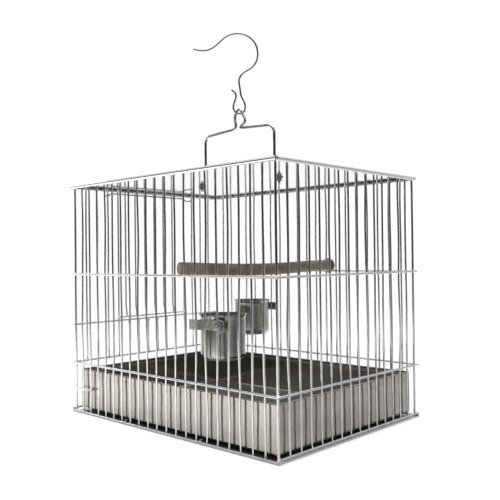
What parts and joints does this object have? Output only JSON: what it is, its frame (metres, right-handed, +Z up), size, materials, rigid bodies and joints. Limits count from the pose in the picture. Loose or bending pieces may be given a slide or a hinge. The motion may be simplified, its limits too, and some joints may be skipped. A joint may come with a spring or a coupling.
{
  "type": "wire travel cage",
  "caption": "Small stainless wire travel cage for a bird, with sheet roof, slide-out tray, lifting door, perch, feed cups and hanging hook.",
  "frame": {"origin": "centre of the cage's footprint, on the ground the bottom rails rest on", "axes": "+Z up; -X is the door and tray end, -Y the side with the tray latch and the front cup"},
  "size_m": [0.313, 0.2349, 0.416],
  "materials": {
    "frame_wire": "polished",
    "roof_sheet": "polished",
    "handle_wire": "satin",
    "tray_sheet": "satin",
    "cup_steel": "satin",
    "fasteners": "polished",
    "perch_wood": "matt"
  },
  "bodies": {
    "cage": {"corner_posts": "frame_wire", "front_wires": "frame_wire", "back_wires": "frame_wire", "right_end_wires": "frame_wire", "left_end_wires": "frame_wire", "door_guide_wires": "frame_wire", "sill_wires": "frame_wire", "bottom_long_rails": "frame_wire", "tray_level_long_rails": "frame_wire", "middle_long_rails": "frame_wire", "top_long_rails": "frame_wire", "tray_level_end_rails": "frame_wire", "middle_end_rail": "frame_wire", "top_end_rails": "frame_wire", "door_sill": "frame_wire", "bottom_end_rails": "frame_wire", "tray_bearers": "frame_wire", "roof_plate": "roof_sheet", "handle": "handle_wire", "handle_screws": "fasteners", "handle_washers": "fasteners", "handle_nuts": "fasteners", "door_keeper": "frame_wire", "perch": "perch_wood", "perch_bolt": "fasteners", "perch_washers": "fasteners", "perch_nut": "fasteners"},
    "tray": {"tray": "tray_sheet"},
    "tray_latch": {"tray_latch": "frame_wire"},
    "door": {"door_wires": "frame_wire", "door_bottom_rail": "frame_wire", "door_top_rail": "frame_wire"},
    "hook": {"hanging_hook": "handle_wire"},
    "front_cup_holder": {"front_cup": "cup_steel", "front_cup_bracket": "cup_steel", "front_cup_screw": "fasteners", "front_cup_washer": "fasteners", "front_cup_nut": "fasteners"},
    "back_cup_holder": {"back_cup": "cup_steel", "back_cup_bracket": "cup_steel", "back_cup_screw": "fasteners", "back_cup_washer": "fasteners", "back_cup_nut": "fasteners"}
  },
  "joints": [
    {"name": "tray_slide", "type": "slide", "parent": "cage", "child": "tray", "axis": [-1, 0, 0], "range_m": [0, 0.29]},
    {"name": "latch_swing", "type": "hinge", "parent": "cage", "child": "tray_latch", "pos_m": [-0.12143, -0.11, 0.0267], "axis": [0, 0, 1], "range_deg": [0, 120]},
    {"name": "door_lift", "type": "slide", "parent": "cage", "child": "door", "axis": [0, 0, 1], "range_m": [0, 0.135]},
    {"name": "hook_swing", "type": "hinge", "parent": "cage", "child": "hook", "pos_m": [0.003, 0, 0.3316], "axis": [1, 0, 0], "range_deg": [-45, 45]},
    {"name": "front_cup_slide", "type": "slide", "parent": "cage", "child": "front_cup_holder", "axis": [0, 0, 1], "range_m": [-0.025, 0.036]},
    {"name": "back_cup_slide", "type": "slide", "parent": "cage", "child": "back_cup_holder", "axis": [0, 0, 1], "range_m": [-0.025, 0.036]}
  ]
}
